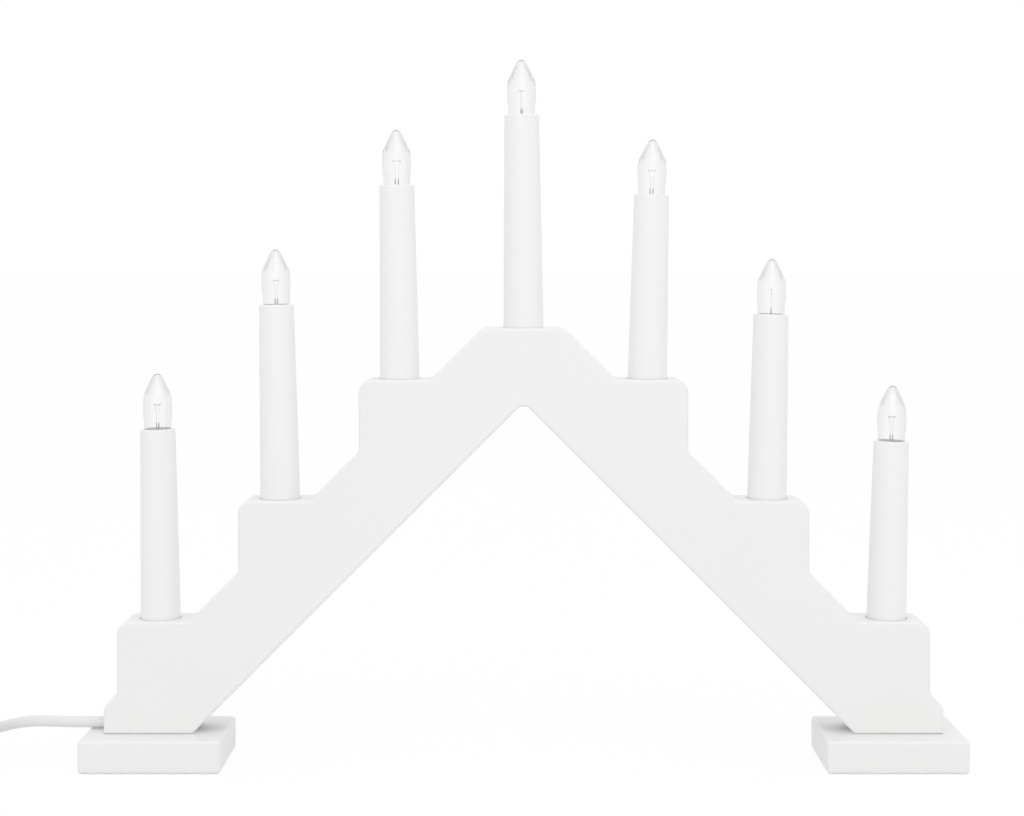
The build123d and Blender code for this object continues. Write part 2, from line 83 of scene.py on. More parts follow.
def surfaceGroup():
    # Color drift, roughness drift and a fine bump height, all in object space in metres
    group = bpy.data.node_groups.new("surfaceDrift", "ShaderNodeTree")
    for name, direction, kind in (
            ("Color", "INPUT", "Color"), ("Second Color", "INPUT", "Color"), ("Drift", "INPUT", "Float"),
            ("Drift Scale", "INPUT", "Float"), ("Fine Scale", "INPUT", "Float"),
            ("Stretch", "INPUT", "Vector"), ("Roughness", "INPUT", "Float"),
            ("Roughness Drift", "INPUT", "Float"), ("Base Color", "OUTPUT", "Color"),
            ("Surface Roughness", "OUTPUT", "Float"), ("Height", "OUTPUT", "Float")):
        group.interface.new_socket(name=name, in_out=direction, socket_type=f"NodeSocket{kind}")
    nodes = group.nodes
    enter = nodes.new("NodeGroupInput")
    leave = nodes.new("NodeGroupOutput")
    place = nodes.new("ShaderNodeTexCoord")
    stretch = nodes.new("ShaderNodeVectorMath")
    stretch.operation = "MULTIPLY"
    wire(group, place.outputs["Object"], stretch.inputs[0])
    wire(group, enter.outputs["Stretch"], stretch.inputs[1])
    drift = nodes.new("ShaderNodeTexNoise")
    drift.inputs["Detail"].default_value = 3
    wire(group, stretch.outputs[0], drift.inputs["Vector"])
    wire(group, enter.outputs["Drift Scale"], drift.inputs["Scale"])
    amount = mathNode(group, "MULTIPLY", drift.outputs["Fac"], enter.outputs["Drift"])
    color = nodes.new("ShaderNodeMix")
    color.data_type = "RGBA"
    wire(group, amount, color.inputs["Factor"])
    wire(group, enter.outputs["Color"], color.inputs["A"])
    wire(group, enter.outputs["Second Color"], color.inputs["B"])
    wire(group, color.outputs["Result"], leave.inputs["Base Color"])
    fine = nodes.new("ShaderNodeTexNoise")
    fine.inputs["Detail"].default_value = 2
    wire(group, stretch.outputs[0], fine.inputs["Vector"])
    wire(group, enter.outputs["Fine Scale"], fine.inputs["Scale"])
    wire(group, fine.outputs["Fac"], leave.inputs["Height"])
    rough = mathNode(group, "MULTIPLY_ADD", drift.outputs["Fac"], enter.outputs["Roughness Drift"],
                     enter.outputs["Roughness"])
    wire(group, rough, leave.inputs["Surface Roughness"])
    return group


driftGroup = surfaceGroup()
surfaceIor = 1.46


def newMaterial(name):
    material = bpy.data.materials.new(name)
    material.use_nodes = True
    shader = material.node_tree.nodes["Principled BSDF"]
    return material, shader


def driftMaterial(name, look):
    material, shader = newMaterial(name)
    tree = material.node_tree
    group = tree.nodes.new("ShaderNodeGroup")
    group.node_tree = driftGroup
    group.inputs["Color"].default_value = (*look["color"], 1)
    group.inputs["Second Color"].default_value = (*look["second"], 1)
    for key, socket in (
            ("drift", "Drift"), ("driftScale", "Drift Scale"), ("fineScale", "Fine Scale"),
            ("stretch", "Stretch"), ("roughness", "Roughness"), ("roughDrift", "Roughness Drift")):
        group.inputs[socket].default_value = look[key]
    wire(tree, group.outputs["Base Color"], shader.inputs["Base Color"])
    wire(tree, group.outputs["Surface Roughness"], shader.inputs["Roughness"])
    bump = tree.nodes.new("ShaderNodeBump")
    bump.inputs["Strength"].default_value = look["bump"]
    bump.inputs["Distance"].default_value = look["bumpDepth"]
    wire(tree, group.outputs["Height"], bump.inputs["Height"])
    wire(tree, bump.outputs["Normal"], shader.inputs["Normal"])
    shader.inputs["Metallic"].default_value = look["metallic"]
    shader.inputs["IOR"].default_value = surfaceIor
    return material


plainLook = {"drift": 0.5, "stretch": (1, 1, 1), "roughDrift": 0.1, "metallic": 0, "bump": 0.05,
             "bumpDepth": 0.03 * mm}
metalLook = {**plainLook, "fineScale": 2500, "roughDrift": 0.2, "metallic": 1}
paintedWood = driftMaterial("paintedWood", {
    **plainLook, "color": (0.87, 0.87, 0.865), "second": (0.82, 0.82, 0.81), "driftScale": 9,
    "fineScale": 620, "roughness": 0.42, "roughDrift": 0.12, "bump": 0.12, "bumpDepth": 0.12 * mm})
sleevePlastic = driftMaterial("sleevePlastic", {
    **plainLook, "color": (0.885, 0.885, 0.88), "second": (0.83, 0.83, 0.82), "drift": 0.55,
    "driftScale": 160, "fineScale": 500, "stretch": (1, 1, 0.06), "roughness": 0.34, "roughDrift": 0.12,
    "bump": 0.1, "bumpDepth": 0.06 * mm})
holderPlastic = driftMaterial("holderPlastic", {
    **plainLook, "color": (0.78, 0.78, 0.76), "second": (0.68, 0.68, 0.66), "driftScale": 120,
    "fineScale": 1500, "roughness": 0.5, "bump": 0.1, "bumpDepth": 0.05 * mm})
cordPlastic = driftMaterial("cordPlastic", {
    **plainLook, "color": (0.81, 0.81, 0.805), "second": (0.75, 0.75, 0.74), "drift": 0.4, "driftScale": 60,
    "fineScale": 1200, "roughness": 0.38, "bump": 0.08, "bumpDepth": 0.04 * mm})
brass = driftMaterial("brass", {
    **metalLook, "color": (0.80, 0.66, 0.38), "second": (0.55, 0.42, 0.22), "driftScale": 400,
    "roughness": 0.24})
platedBrass = driftMaterial("platedBrass", {
    **metalLook, "color": (0.78, 0.76, 0.72), "second": (0.60, 0.57, 0.52), "driftScale": 300,
    "roughness": 0.2})
zincSteel = driftMaterial("zincSteel", {
    **metalLook, "color": (0.62, 0.62, 0.63), "second": (0.45, 0.45, 0.46), "driftScale": 500,
    "roughness": 0.3})
leadWire = driftMaterial("leadWire", {
    **metalLook, "color": (0.82, 0.82, 0.81), "second": (0.68, 0.67, 0.66), "driftScale": 900,
    "fineScale": 4000, "roughness": 0.35, "bumpDepth": 0.02 * mm})
blackGlass = driftMaterial("blackGlass", {
    **plainLook, "color": (0.012, 0.012, 0.014), "second": (0.03, 0.03, 0.035), "driftScale": 500,
    "fineScale": 1800, "roughness": 0.12})
beadGlass = driftMaterial("beadGlass", {
    **plainLook, "color": (0.72, 0.72, 0.73), "second": (0.60, 0.60, 0.61), "driftScale": 900,
    "fineScale": 3000, "roughness": 0.18, "bumpDepth": 0.02 * mm})

# Clear glass: its faint tint with painted shade over it, grey on the flanks where it is seen edge on, a dark
# outline, darker shoulders and a darker tip. Facing runs from 0 to 1, edge on
glassLook = {
    "roughness": 0.02, "ior": 1.48, "color": (0.958, 0.961, 0.961, 1),
    # painted shade: grey on the flanks, where the glass is seen edge on
    "flankColor": (0.91, 0.915, 0.915, 1), "flankFacing": (0.08, 0.26),
    # painted shade: a dark line along the outline, fading out towards the tip
    "rimColor": (0.55, 0.56, 0.56, 1), "rimFacing": (0.55, 1.0), "rimFade": (25.1 * mm, 23.4 * mm),
    # painted shade: darker shoulders between these heights
    "shoulderColor": (0.60, 0.61, 0.61, 1), "shoulderFacing": (0.30, 0.62),
    "shoulderRise": (14.8 * mm, 17.2 * mm), "shoulderFade": (24.6 * mm, 22.2 * mm),
    # painted shade: a darker tip
    "tipColor": (0.84, 0.85, 0.85, 1), "tipRise": (24.2 * mm, 25.2 * mm), "behind": (0.94, 0.945, 0.945, 1),
}
clearGlass, glassShader = newMaterial("clearGlass")
glassTree = clearGlass.node_tree
glassShader.inputs["Roughness"].default_value = glassLook["roughness"]
glassShader.inputs["IOR"].default_value = glassLook["ior"]
glassShader.inputs["Transmission Weight"].default_value = 1
edgeOn = glassTree.nodes.new("ShaderNodeLayerWeight")
edgeOn.inputs["Blend"].default_value = 0.5
glassPlace = glassTree.nodes.new("ShaderNodeTexCoord")
glassSplit = glassTree.nodes.new("ShaderNodeSeparateXYZ")
wire(glassTree, glassPlace.outputs["Object"], glassSplit.inputs[0])


def smoothStep(tree, source, low, high):
    step = tree.nodes.new("ShaderNodeMapRange")
    step.interpolation_type = "SMOOTHSTEP"
    step.inputs["From Min"].default_value = low
    step.inputs["From Max"].default_value = high
    wire(tree, source, step.inputs["Value"])
    return step.outputs["Result"]


def multiply(tree, first, second):
    return mathNode(tree, "MULTIPLY", first, second)


def anyRay(tree, *kinds):
    # 1 where the ray is of one of these kinds
    rays = tree.nodes.new("ShaderNodeLightPath")
    found = rays.outputs[kinds[0]]
    for kind in kinds[1:]:
        found = mathNode(tree, "MAXIMUM", found, rays.outputs[kind])
    return found


def mixShaders(tree, factor, first, second, target):
    # Wires a blend of two shaders to the surface of the target
    blend = tree.nodes.new("ShaderNodeMixShader")
    wire(tree, factor, blend.inputs["Fac"])
    wire(tree, first.outputs[0], blend.inputs[1])
    wire(tree, second.outputs[0], blend.inputs[2])
    wire(tree, blend.outputs[0], tree.nodes[target].inputs["Surface"])


def tintOver(tree, below, factor, color):
    mix = tree.nodes.new("ShaderNodeMix")
    mix.data_type = "RGBA"
    if isinstance(below, tuple):
        mix.inputs["A"].default_value = below
    else:
        wire(tree, below, mix.inputs["A"])
    mix.inputs["B"].default_value = color
    wire(tree, factor, mix.inputs["Factor"])
    return mix.outputs["Result"]


facing = edgeOn.outputs["Facing"]
height = glassSplit.outputs["Z"]
# painted shade on the flanks
flankShadeMask = smoothStep(glassTree, facing, *glassLook["flankFacing"])
# painted shade along the outline
rimShadeMask = multiply(glassTree, smoothStep(glassTree, facing, *glassLook["rimFacing"]),
                   smoothStep(glassTree, height, *glassLook["rimFade"]))
# painted shade on the shoulders
shoulder = multiply(glassTree, smoothStep(glassTree, height, *glassLook["shoulderRise"]),
                    smoothStep(glassTree, height, *glassLook["shoulderFade"]))
shoulder = multiply(glassTree, shoulder, smoothStep(glassTree, facing, *glassLook["shoulderFacing"]))
# painted shade at the tip
tip = smoothStep(glassTree, height, *glassLook["tipRise"])
# the glass's own faint tint, with the painted shade laid over it
glassTintAndShade = glassLook["color"]
for factor, key in ((flankShadeMask, "flankColor"), (rimShadeMask, "rimColor"), (shoulder, "shoulderColor"),
                    (tip, "tipColor")):
    glassTintAndShade = tintOver(glassTree, glassTintAndShade, factor, glassLook[key])
wire(glassTree, glassTintAndShade, glassShader.inputs["Base Color"])
# Light that falls on what lies behind the glass goes straight through it
clearPath = glassTree.nodes.new("ShaderNodeBsdfTransparent")
clearPath.inputs["Color"].default_value = glassLook["behind"]
lightRay = anyRay(glassTree, "Is Shadow Ray", "Is Diffuse Ray")
mixShaders(glassTree, lightRay, glassShader, clearPath, "Material Output")
report("materials ready")


# Mesh helpers
def shiftBy(x, y, z):
    # A move given in mm
    return Matrix.Translation(Vector((x, y, z)) * mm)


def finishMesh(name, build, material, sharp=None, smooth=True):
    # Turns a finished bmesh into a mesh; sharp is the angle in degrees above which edges stay hard
    for face in build.faces:
        face.smooth = smooth
    mesh = bpy.data.meshes.new(name)
    build.to_mesh(mesh)
    build.free()
    if material:
        mesh.materials.append(material)
    if sharp is not None:
        mesh.set_sharp_from_angle(angle=math.radians(sharp))
    return mesh


def newObject(name, mesh, matrix=None):
    item = bpy.data.objects.new(name, mesh)
    if matrix is not None:
        item.matrix_world = matrix
    scene.collection.objects.link(item)
    return item


def bridgeRings(build, rings):
    # Faces between neighbouring rings, which have as many points each
    for lower, upper in zip(rings, rings[1:]):
        for k in range(len(lower)):
            nextK = (k + 1) % len(lower)
            build.faces.new((lower[k], lower[nextK], upper[nextK], upper[k]))


def turnedFaces(build, profile, sides, closed):
    # The profile is (radius, height) in mm, turned about Z
    rings = []
    for radius, height in profile:
        if radius < 1e-6:
            rings.append([build.verts.new((0, 0, height * mm))])
            continue
        rings.append([build.verts.new((radius * mm * math.cos(2 * math.pi * k / sides),
                                       radius * mm * math.sin(2 * math.pi * k / sides), height * mm))
                      for k in range(sides)])
    pairs = list(zip(rings, rings[1:]))
    if closed:
        pairs.append((rings[-1], rings[0]))
    faces = []
    for lower, upper in pairs:
        if len(lower) == 1 and len(upper) == 1:
            continue
        for k in range(sides):
            nextK = (k + 1) % sides
            corners = [lower[k % len(lower)], lower[nextK % len(lower)],
                       upper[nextK % len(upper)], upper[k % len(upper)]]
            unique = list(dict.fromkeys(corners))
            if len(unique) > 2:
                faces.append(build.faces.new(unique))
    bmesh.ops.recalc_face_normals(build, faces=faces)
    return faces


def latheMesh(name, profile, sides, material, closed=False, hollow=None):
    # closed joins the last point to the first, for a profile that stays off the axis
    build = bmesh.new()
    turnedFaces(build, profile, sides, closed)
    if hollow:
        bmesh.ops.reverse_faces(build, faces=turnedFaces(build, hollow, sides, False))
    return finishMesh(name, build, material, 38)


def roundedOutline(points, radii, count=5):
    # A closed outline with an arc at each corner that has a radius
    outline = []
    total = len(points)
    for k in range(total):
        before, corner, after = (Vector(points[(k + step) % total]) for step in (-1, 0, 1))
        radius = radii[k]
        if radius == 0:
            outline.append(tuple(corner))
            continue
        into = (before - corner).normalized()
        out = (after - corner).normalized()
        half = into.angle(out) / 2
        centre = corner + (into + out).normalized() * (radius / math.sin(half))
        startArm = corner + into * (radius / math.tan(half)) - centre
        endArm = corner + out * (radius / math.tan(half)) - centre
        turn = startArm.angle_signed(endArm)
        for step in range(count + 1):
            spin = Matrix.Rotation(-turn * step / count, 2)
            outline.append(tuple(centre + spin @ startArm))
    return outline


def flatPlane(u, v, w):
    return (u, v, w)


def frontPlane(u, v, w):
    return (u, w, v)


def sidePlane(u, v, w):
    return (w, u, v)


def slabMesh(name, outline, low, high, edge, segments, material, toWorld):
    # An outline in one of the planes above, raised from low to high, with softened rims; all in mm
    build = bmesh.new()
    bottom = build.faces.new([build.verts.new(toWorld(u * mm, v * mm, low * mm)) for u, v in outline])
    raised = bmesh.ops.extrude_face_region(build, geom=[bottom])
    lift = Vector(toWorld(0, 0, high * mm)) - Vector(toWorld(0, 0, low * mm))
    top = [item for item in raised["geom"] if isinstance(item, bmesh.types.BMVert)]
    bmesh.ops.translate(build, verts=top, vec=lift)
    bmesh.ops.recalc_face_normals(build, faces=build.faces)
    if edge > 0:
        across = lift.normalized()
        caps = [face for face in build.faces if abs(face.normal.dot(across)) > 0.99]
        rims = {line for face in caps for line in face.edges}
        bmesh.ops.bevel(build, geom=list(rims), offset=edge * mm, segments=segments, profile=0.5,
                        affect="EDGES", clamp_overlap=True)
    return finishMesh(name, build, material)


def evaluatedMesh(item):
    bpy.context.view_layer.update()
    return bpy.data.meshes.new_from_object(item.evaluated_get(bpy.context.evaluated_depsgraph_get()))


def settle(item):
    mesh = evaluatedMesh(item)
    item.modifiers.clear()
    item.data = mesh


def evenFaces(item, weight):
    # Flat faces keep flat shading beside their softened edges
    even = item.modifiers.new("evenFaces", "WEIGHTED_NORMAL")
    even.keep_sharp = True
    even.weight = weight
    settle(item)


def boxCutter(name, size, matrix, taper=1):
    # A box of this size in mm; taper is the share of its length that its upper face keeps
    build = bmesh.new()
    bmesh.ops.create_cube(build, size=1)
    bmesh.ops.transform(build, matrix=Matrix.Diagonal((*(Vector(size) * mm), 1)), verts=build.verts)
    for corner in build.verts:
        if corner.co.z > 0:
            corner.co.x *= taper
    return newObject(name, finishMesh(name, build, None, smooth=False), matrix)


def rodCutter(name, radius, low, high, sides, matrix, material):
    # A round rod along Z from low to high, in mm
    profile = [(0, low), (radius, low), (radius, high), (0, high)]
    return newObject(name, latheMesh(name, profile, sides, material), matrix)


def cutAndSettle(item, cutters, sharp=30):
    # Cuts the cutters out of the item and keeps the result as its mesh
    for cutter in cutters:
        cut = item.modifiers.new("cut", "BOOLEAN")
        cut.operation = "DIFFERENCE"
        cut.solver = "MANIFOLD"
        cut.object = cutter
    settle(item)
    for cutter in cutters:
        bpy.data.objects.remove(cutter)
    item.data.set_sharp_from_angle(angle=math.radians(sharp))


def tubeMesh(name, paths, radius, sides, material):
    # Round wires along lists of points in mm
    curve = bpy.data.curves.new(name, "CURVE")
    curve.dimensions = "3D"
    curve.bevel_depth = radius * mm
    curve.bevel_resolution = max(1, sides // 4 - 1)
    curve.use_fill_caps = True
    for path in paths:
        line = curve.splines.new("POLY")
        line.points.add(len(path) - 1)
        for point, place in zip(line.points, path):
            point.co = (*(Vector(place) * mm), 1)
    holder = newObject(name, curve)
    mesh = evaluatedMesh(holder)
    bpy.data.objects.remove(holder)
    for polygon in mesh.polygons:
        polygon.use_smooth = True
    mesh.materials.clear()
    mesh.materials.append(material)
    return mesh


def roundedPath(points, reach, count=4, most=0.45):
    # A line through points in mm with its corners eased, over at most this share of a side
    path = [Vector(points[0])]
    for before, corner, after in zip(points, points[1:], points[2:]):
        corner = Vector(corner)
        into = Vector(before) - corner
        out = Vector(after) - corner
        start = corner + into.normalized() * min(reach, into.length * most)
        end = corner + out.normalized() * min(reach, out.length * most)
        for k in range(count + 1):
            share = k / count
            path.append(start.lerp(corner, share).lerp(corner.lerp(end, share), share))
    return path + [Vector(points[-1])]


# Cord: over the left foot, down to the table, into its coil and on to the plug
cord = {
    "diameter": 5, "innerRadius": 25, "pitch": 5.5, "rise": 5.5, "turnsIn": 3, "turnsOut": 4,
    "pointsPerHalf": 8, "climbLead": 10, "climbRadius": 25, "plugLead": 4, "plugGap": 0.3,
    "route": ((-188, 0, 17.9), (-208, 0, 17.9), (-218, 1.5, 17.9), (-229, 5.6, 16.9), (-241, 12.3, 13.4),
              (-253, 20.2, 8.2), (-264.5, 27.4, 3.9), (-276, 33, 2.5), (-287, 36, 2.5), (-298, 36, 2.5)),
}
plug = {
    "length": 36, "width": 26, "backWidth": 12, "shoulder": 16, "thickness": 16, "corner": 3,
    "backCorner": 1.5, "faceCorner": 0.8, "edge": 3.2, "ribs": 4, "ribWidth": 1.6, "ribDepth": 0.5,
    "ribStart": 3.2, "ribSpacing": 3.4, "ribShare": 0.62,
}


def halfTurn(start, toward, radius, rise):
    # Points of one half turn, level or climbing, and where it ends
    count = cord["pointsPerHalf"]
    swell = 1 / math.cos(math.pi / (2 * count))  # so that the spline itself has the radius
    centre = start + Vector((0, toward * radius, 0))
    points = []
    for k in range(count):
        angle = math.pi * (k + 0.5) / count
        points.append(centre + Vector((toward * radius * swell * math.sin(angle),
                                       -toward * radius * swell * math.cos(angle),
                                       rise * (1 - math.cos(angle)) / 2)))
    return points, centre + Vector((0, toward * radius, rise))


def coilPoints(start):
    # In one layer, out in the next, then up to the plug that lies on top
    step = cord["pitch"] / 2
    inward = [cord["innerRadius"] + k * step for k in range(cord["turnsIn"], -1, -1)]
    outward = [cord["innerRadius"] + k * step for k in range(1, cord["turnsOut"] + 1)]
    points = []
    at = start - Vector((cord["diameter"], 0, 0))
    toward = -1
    for index, radius in enumerate(inward + outward):
        turn, at = halfTurn(at, toward, radius, cord["rise"] if index == cord["turnsIn"] else 0)
        points += turn
        toward = -toward
    at = at + Vector((toward * cord["climbLead"], 0, 0))
    points.append(at)
    plugLevel = cord["diameter"] / 2 + cord["plugGap"] + plug["thickness"] / 2
    turn, at = halfTurn(at, toward, cord["climbRadius"], plugLevel)
    end = at - Vector((toward * cord["plugLead"], 0, 0))
    return points + turn + [at, end]


route = [Vector(point) for point in cord["route"]]
cordPoints = route + coilPoints(route[-1])
cordCurve = bpy.data.curves.new("mainsCord", "CURVE")
cordCurve.dimensions = "3D"
cordCurve.bevel_depth = cord["diameter"] / 2 * mm
cordCurve.bevel_resolution = 5
cordCurve.resolution_u = 5
spline = cordCurve.splines.new("NURBS")
spline.points.add(len(cordPoints) - 1)
for point, place in zip(spline.points, cordPoints):
    point.co = (*(place * mm), 1)
spline.order_u = 3
spline.use_endpoint_u = True
cordCurve.use_fill_caps = True
cordCurve.materials.append(cordPlastic)
mainsCord = newObject("mainsCord", cordCurve)
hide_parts("cord_free", "cord_coil")
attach(mainsCord, "arch")
report("cord laid")

# The plug's frame: its back at the end of the cord, its length along the cord's last run
plugBack = cordPoints[-1] * mm
plugWay = (cordPoints[-1] - cordPoints[-2]).normalized()
plugMatrix = Matrix((plugWay, Vector((0, 0, 1)).cross(plugWay), (0, 0, 1))).transposed().to_4x4()
plugMatrix.translation = plugBack

plugSide = [(0, plug["backWidth"] / 2), (plug["shoulder"], plug["width"] / 2),
            (plug["length"], plug["width"] / 2)]
plugRadii = [plug["backCorner"], plug["corner"], plug["faceCorner"]]
plugOutline = roundedOutline(plugSide + [(u, -v) for u, v in plugSide[::-1]], plugRadii + plugRadii[::-1])
plugMesh = slabMesh("plugBody", plugOutline, -plug["thickness"] / 2, plug["thickness"] / 2, plug["edge"], 5,
                    cordPlastic, flatPlane)
plugBody = newObject("plugBody", plugMesh, plugMatrix)
grooves = []
for side in (-1, 1):
    for k in range(plug["ribs"]):
        ribX = plug["shoulder"] + plug["ribStart"] + k * plug["ribSpacing"]
        size = (plug["ribWidth"], plug["ribDepth"] * 2, plug["thickness"] * plug["ribShare"])
        grooves.append(boxCutter("groove", size, plugMatrix @ shiftBy(ribX, side * plug["width"] / 2, 0)))
cutAndSettle(plugBody, grooves)
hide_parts("plug_body")
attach(plugBody, "arch")

pins = {"radius": 2, "length": 19, "tip": 1.2, "spacing": 18.6}
tipStart = pins["length"] - pins["tip"]
pinProfile = [(0, 0), (pins["radius"], 0), (pins["radius"], tipStart)]
pinProfile += [(pins["radius"] * math.cos(angle), tipStart + pins["tip"] * math.sin(angle))
               for angle in map(math.radians, (25, 50, 72))]
pinProfile += [(0, pins["length"])]
pinMesh = latheMesh("plugPin", pinProfile, 32, platedBrass)
for index, side in enumerate((-1, 1)):
    pinMatrix = plugMatrix @ shiftBy(plug["length"], side * pins["spacing"] / 2, 0)
    pin = newObject(f"plugPin{index}", pinMesh, pinMatrix @ Matrix.Rotation(math.pi / 2, 4, "Y"))
    if index == 0:
        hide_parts("plug_pins")
    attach(pin, "arch")

# Tapered, ringed strain relief behind the plug, bent with the cord's own line
relief = {"length": 26, "backRadius": 3.0, "plugRadius": 4.7, "rings": 7, "ringDepth": 0.55, "sides": 32,
          "into": 1.5}


def cordLine():
    # Points along the cord's middle, read from its spline
    bare = cordCurve.copy()
    bare.bevel_depth = 0
    bare.resolution_u = 12
    holder = newObject("cordLine", bare)
    mesh = evaluatedMesh(holder)
    bpy.data.objects.remove(holder)
    return [vertex.co.copy() for vertex in mesh.vertices]


def reliefMesh():
    line = cordLine()[::-1]
    build = bmesh.new()
    rings = []
    walked = 0
    for place, further in zip(line, line[1:]):
        if walked > relief["length"] * mm:
            break
        way = (place - further).normalized()
        share = walked / (relief["length"] * mm)
        wave = (1 - math.cos(2 * math.pi * share * relief["rings"])) / 2 * relief["ringDepth"]
        radius = relief["plugRadius"] + (relief["backRadius"] - relief["plugRadius"]) * share - wave
        side = way.cross(Vector((0, 0, 1))).normalized()
        up = side.cross(way)
        shift = way * relief["into"] * mm if not rings else Vector()
        rings.append([build.verts.new(place + shift + (side * math.cos(a) + up * math.sin(a)) * radius * mm)
                      for a in (2 * math.pi * k / relief["sides"] for k in range(relief["sides"]))])
        walked += (further - place).length
    bridgeRings(build, rings)
    build.faces.new(rings[0][::-1])
    build.faces.new(rings[-1])
    bmesh.ops.recalc_face_normals(build, faces=build.faces)
    return finishMesh("strainRelief", build, cordPlastic, 60)


strainRelief = newObject("strainRelief", reliefMesh())
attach(strainRelief, "arch")
report("plug and strain relief ready")

# Stepped board: its outline in X and Z, softened rims, seats, wire holes and the channel under the arms
board = {
    "thickness": 22, "edge": 1.3, "top": 199.5, "topReach": 18.5, "topSlope": 23.5, "ledge": 33, "drop": 33,
    "slope": 22, "endSlope": 6, "steps": 3, "footLevel": 15, "armWidth": 37, "topCorner": 8, "ledgeCorner": 6,
    "innerCorner": 3.5, "legCorner": 4, "apexCorner": 4.4, "channelWidth": 7, "channelDepth": 8,
    "endWall": 14, "seatRadius": 9.42, "seatFoot": -110, "holeRadius": 3.6, "holeFoot": -150, "holeTop": -105,
}
halfOutline = [(board["topReach"], board["top"])]
halfRadii = [board["topCorner"]]
stepX = board["topReach"] + board["topSlope"]
stepZ = board["top"] - board["topSlope"]
for step in range(board["steps"]):
    slope = board["slope"] if step < board["steps"] - 1 else board["endSlope"]
    ledgeEnd = stepX + board["ledge"]
    halfOutline += [(stepX, stepZ), (ledgeEnd, stepZ), (ledgeEnd, stepZ - board["drop"])]
    halfRadii += [board["innerCorner"], board["ledgeCorner"], board["innerCorner"]]
    stepX = ledgeEnd + slope
    stepZ -= board["drop"] + slope
apex = board["top"] + board["topReach"] - board["armWidth"] * math.sqrt(2)
legInner = apex - board["footLevel"]
halfOutline += [(stepX, stepZ), (stepX, board["footLevel"]), (legInner, board["footLevel"])]
halfRadii += [board["legCorner"], 0, 0]
boardOutline = halfOutline + [(0, apex)] + [(-x, z) for x, z in reversed(halfOutline)]
boardRadii = halfRadii + [board["apexCorner"]] + halfRadii[::-1]
boardMesh = slabMesh("archBoard", roundedOutline(boardOutline, boardRadii, 8), -board["thickness"] / 2,
                     board["thickness"] / 2, board["edge"], 4, paintedWood, frontPlane)
archBoard = newObject("archBoard", boardMesh)

# Each candle's own frame: origin in the middle of the sleeve's rim, Z along the candle
candleFrames = {}
for joint in frame["joints"]:
    if joint["type"] == "hinge":
        up = Vector(joint["axis"]).normalized()
        right = Vector((0, 1, 0)).cross(up).normalized()
        matrix = Matrix((right, up.cross(right), up)).transposed().to_4x4()
        matrix.translation = Vector(joint["pos_m"])
        candleFrames[joint["name"].removeprefix("turn_")] = matrix

cutters = []
for name, matrix in candleFrames.items():
    cutters.append(rodCutter("seat", board["seatRadius"], board["seatFoot"], 0, 48, matrix, paintedWood))
    cutters.append(rodCutter("wireHole", board["holeRadius"], board["holeFoot"], board["holeTop"], 24, matrix,
                             paintedWood))
rise = board["channelDepth"] * math.sqrt(2)
channelRoof = board["footLevel"] + board["channelDepth"]
bend = apex + rise - channelRoof
over = 4  # how far the cutter stands out of the wood
mouthX = -stepX - over
blindX = stepX - board["endWall"]
cutterFoot = board["footLevel"] - over
channelOutline = [(mouthX, cutterFoot), (mouthX, channelRoof), (-bend, channelRoof), (0, apex + rise),
                  (bend, channelRoof), (blindX, channelRoof), (blindX, cutterFoot)]
channelMesh = slabMesh("channel", channelOutline, -board["channelWidth"] / 2, board["channelWidth"] / 2, 0, 1,
                       paintedWood, frontPlane)
cutters.append(newObject("channel", channelMesh))
cutAndSettle(archBoard, cutters, 35)
evenFaces(archBoard, 90)
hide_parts("arch_board")
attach(archBoard, "arch")
report("board cut")

# Feet: softly rounded blocks with sunk screws underneath
foot = {"length": 64, "depth": 46, "height": 15, "reach": 200, "edge": 1.7, "corner": 1.6, "screwX": 10,
        "screwY": 7}
sink = {"mouth": 4.6, "top": 4.4, "bore": 2.0, "coneEnd": 2.8, "over": 1}
sinkProfile = [(0, -sink["over"]), (sink["mouth"], -sink["over"]), (sink["top"], 0),
               (sink["bore"], sink["coneEnd"]), (sink["bore"], foot["height"] + sink["over"]),
               (0, foot["height"] + sink["over"])]
legMiddle = (stepX + legInner) / 2
screwSpots = [(side * (legMiddle + shift * foot["screwX"]), shift * foot["screwY"])
              for side in (-1, 1) for shift in (-1, 1)]
for side, node in ((-1, "foot_left"), (1, "foot_right")):
    middle = side * (foot["reach"] - foot["length"] / 2)
    corners = [(middle + u * foot["length"] / 2, v * foot["depth"] / 2)
               for u, v in ((-1, -1), (1, -1), (1, 1), (-1, 1))]
    footMesh = slabMesh(node, roundedOutline(corners, [foot["corner"]] * 4), 0, foot["height"], foot["edge"],
                        4, paintedWood, flatPlane)
    footBlock = newObject("footLeft" if side < 0 else "footRight", footMesh)
    sinkMesh = latheMesh("sink", sinkProfile, 32, paintedWood)
    cutAndSettle(footBlock, [newObject("sink", sinkMesh, shiftBy(*spot, 0))
                             for spot in (screwSpots[:2] if side < 0 else screwSpots[2:])], 35)
    evenFaces(footBlock, 50)
    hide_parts(node)
    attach(footBlock, "arch")
report("feet ready")

# Candle sleeves
sleeve = {"length": 110, "topRadius": 8, "baseRadius": 9.35, "wall": 0.9, "rim": 0.9, "lip": 1.2,
          "bore": 6.13}
rimCentre = sleeve["topRadius"] - sleeve["rim"]
sleeveProfile = [(sleeve["bore"], 0), (rimCentre, 0)]
sleeveProfile += [(rimCentre + sleeve["rim"] * math.sin(angle), sleeve["rim"] * (math.cos(angle) - 1))
                  for angle in map(math.radians, (15, 30, 45, 60, 75, 90))]
sleeveProfile += [(sleeve["baseRadius"], -sleeve["length"]),
                  (sleeve["baseRadius"] - sleeve["wall"], -sleeve["length"]),
                  (sleeve["topRadius"] - sleeve["wall"], -sleeve["lip"]), (sleeve["bore"], -sleeve["lip"])]
sleeveMesh = latheMesh("candleSleeve", sleeveProfile, 64, sleevePlastic, closed=True)

